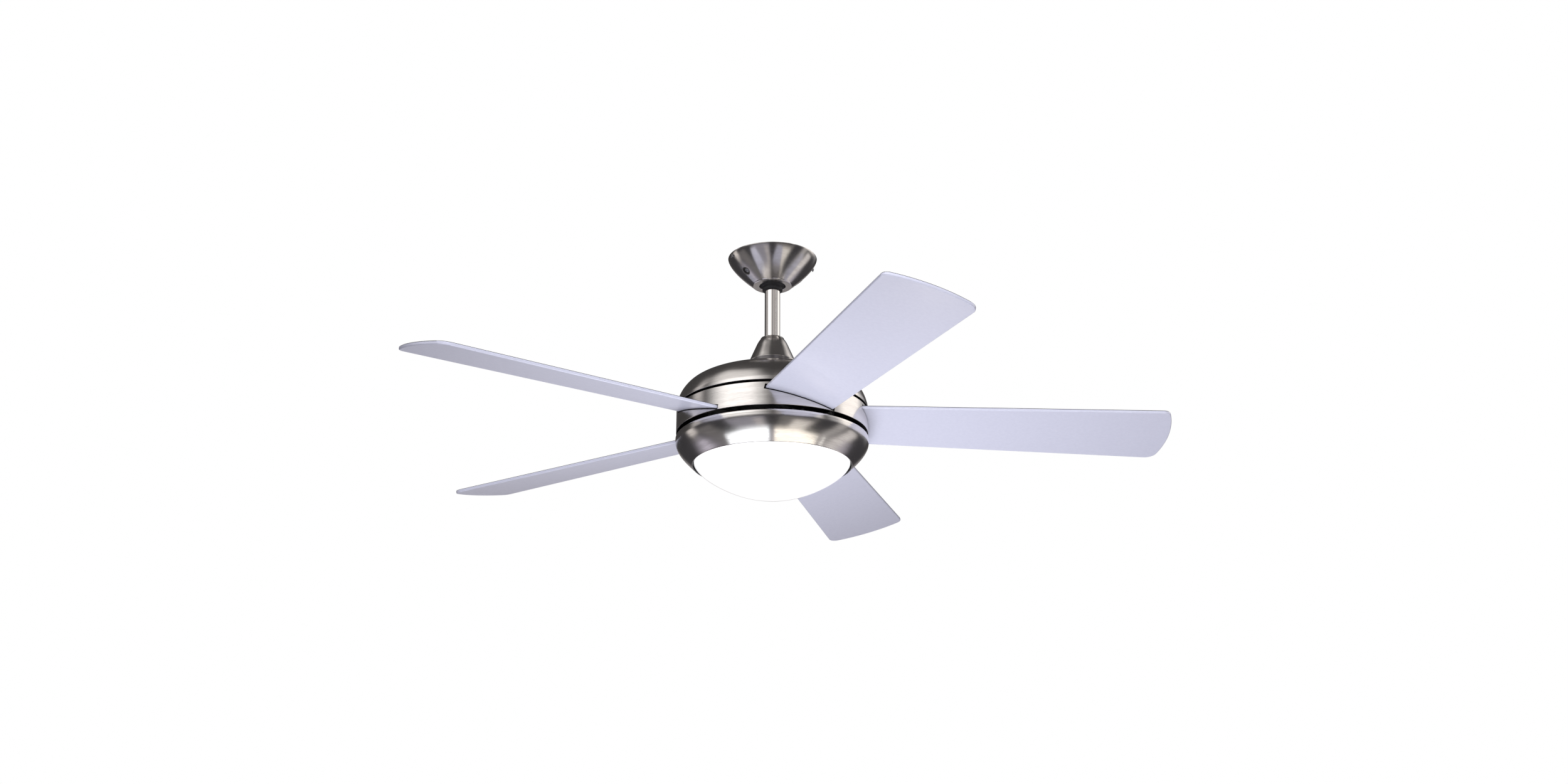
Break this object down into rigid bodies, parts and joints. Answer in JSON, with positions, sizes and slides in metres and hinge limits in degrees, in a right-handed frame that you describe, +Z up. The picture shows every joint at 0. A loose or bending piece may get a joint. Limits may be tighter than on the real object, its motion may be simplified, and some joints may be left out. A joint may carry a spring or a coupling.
{
  "type": "ceiling fan with light",
  "caption": "Ceiling fan on a short downrod, with pitched blades in a turning band between a spun dome and a bull-nosed ring that holds a shallow opal glass light.",
  "frame": {"origin": "centre of the hanger plate's upper face, where the fan meets the ceiling", "axes": "+Z up, along the downrod; +X along the hanger plate and its slots; the first blade points close to +X"},
  "size_m": [1.2278, 1.2735, 0.4221],
  "materials": {
    "brushed_nickel": "satin nickel, spun and brushed round the axis",
    "polished_steel": "polished, brushed along the tube",
    "silver_lacquer": "silver lacquer on board, satin",
    "zinc_steel": "zinc plated",
    "black_nylon": "moulded, satin",
    "seat_rubber": "moulded",
    "cast_yoke": "as cast, painted black",
    "cast_aluminium": "die cast",
    "lamination_steel": "stamped laminations, varnished",
    "copper_wire": "enamelled copper wire",
    "bearing_steel": "ground",
    "white_enamel": "gloss white reflector",
    "porcelain": "glazed",
    "bulb_glass": "frosted, lit",
    "cap_metal": "rolled",
    "opal_glass": "opal, satin outside, lit from inside",
    "ivory_plastic": "moulded",
    "brass_screw": "plain",
    "dark_plastic": "moulded",
    "wire_insulation": "extruded"
  },
  "bodies": {
    "ceiling_mount": {"hanger_bracket": "zinc_steel", "canopy": "brushed_nickel", "canopy_screws": "zinc_steel", "canopy_rim_screws": "zinc_steel", "terminal_block": "ivory_plastic", "terminal_screws": "brass_screw", "earth_screw": "brass_screw"},
    "ball_seat": {"ball_liner": "seat_rubber"},
    "hanging": {"hanger_ball": "black_nylon", "ball_cross_pin": "zinc_steel", "set_screws": "zinc_steel", "rod_leads": "wire_insulation", "downrod": "polished_steel", "coupling_cover": "brushed_nickel", "motor_yoke": "cast_yoke", "yoke_pin": "zinc_steel", "yoke_cotter": "zinc_steel", "motor_shaft": "zinc_steel", "stator_core": "lamination_steel", "stator_windings": "copper_wire", "upper_bearing_inner": "bearing_steel", "lower_bearing_inner": "bearing_steel", "upper_housing": "brushed_nickel", "housing_screws": "zinc_steel", "run_capacitor": "dark_plastic", "reverse_switch": "dark_plastic", "light_kit_plate": "zinc_steel", "shaft_nuts": "zinc_steel", "light_housing": "brushed_nickel", "lamp_pan": "white_enamel", "light_kit_screws": "zinc_steel", "lamp_holders": "porcelain", "lamp_brackets": "zinc_steel", "bulb_caps": "cap_metal", "bulbs": "bulb_glass"},
    "rotor": {"rotor_core": "lamination_steel", "motor_case_upper": "cast_aluminium", "motor_case_lower": "cast_aluminium", "case_screws": "zinc_steel", "upper_bearing_outer": "bearing_steel", "lower_bearing_outer": "bearing_steel", "blade_arm_1": "zinc_steel", "blade_arm_2": "zinc_steel", "blade_arm_3": "zinc_steel", "blade_arm_4": "zinc_steel", "blade_arm_5": "zinc_steel", "blade_1": "silver_lacquer", "blade_2": "silver_lacquer", "blade_3": "silver_lacquer", "blade_4": "silver_lacquer", "blade_5": "silver_lacquer", "arm_screws": "zinc_steel", "blade_screws": "zinc_steel", "rotor_band": "brushed_nickel", "band_screws": "zinc_steel"},
    "upper_ball_set": {"upper_bearing_balls": "bearing_steel"},
    "lower_ball_set": {"lower_bearing_balls": "bearing_steel"},
    "glass": {"glass_shade": "opal_glass", "glass_collar": "zinc_steel"},
    "reverse_slider": {"reverse_knob": "black_nylon"}
  },
  "joints": [
    {"name": "tilt_about_x", "type": "hinge", "parent": "ceiling_mount", "child": "ball_seat", "pos_m": [0, 0, -0.0315], "axis": [1, 0, 0], "range_deg": [-7, 7]},
    {"name": "tilt_about_y", "type": "hinge", "parent": "ball_seat", "child": "hanging", "pos_m": [0, 0, -0.0315], "axis": [0, 1, 0], "range_deg": [-7, 7]},
    {"name": "rotor_spin", "type": "hinge", "parent": "hanging", "child": "rotor", "pos_m": [0, 0, -0.261], "axis": [0, 0, 1], "continuous": true},
    {"name": "upper_balls_roll", "type": "hinge", "parent": "hanging", "child": "upper_ball_set", "pos_m": [0, 0, -0.2445], "axis": [0, 0, 1], "continuous": true},
    {"name": "lower_balls_roll", "type": "hinge", "parent": "hanging", "child": "lower_ball_set", "pos_m": [0, 0, -0.2775], "axis": [0, 0, 1], "continuous": true},
    {"name": "glass_twist", "type": "hinge", "parent": "hanging", "child": "glass", "pos_m": [0, 0, -0.35], "axis": [0, 0, 1], "range_deg": [0, 30]},
    {"name": "reverse_slide", "type": "slide", "parent": "hanging", "child": "reverse_slider", "axis": [-1, 0, 0], "range_m": [0, 0.005]}
  ],
  "couplings": [
    {"joint": "upper_balls_roll", "follows": "rotor_spin", "ratio": 0.619},
    {"joint": "lower_balls_roll", "follows": "rotor_spin", "ratio": 0.619}
  ]
}
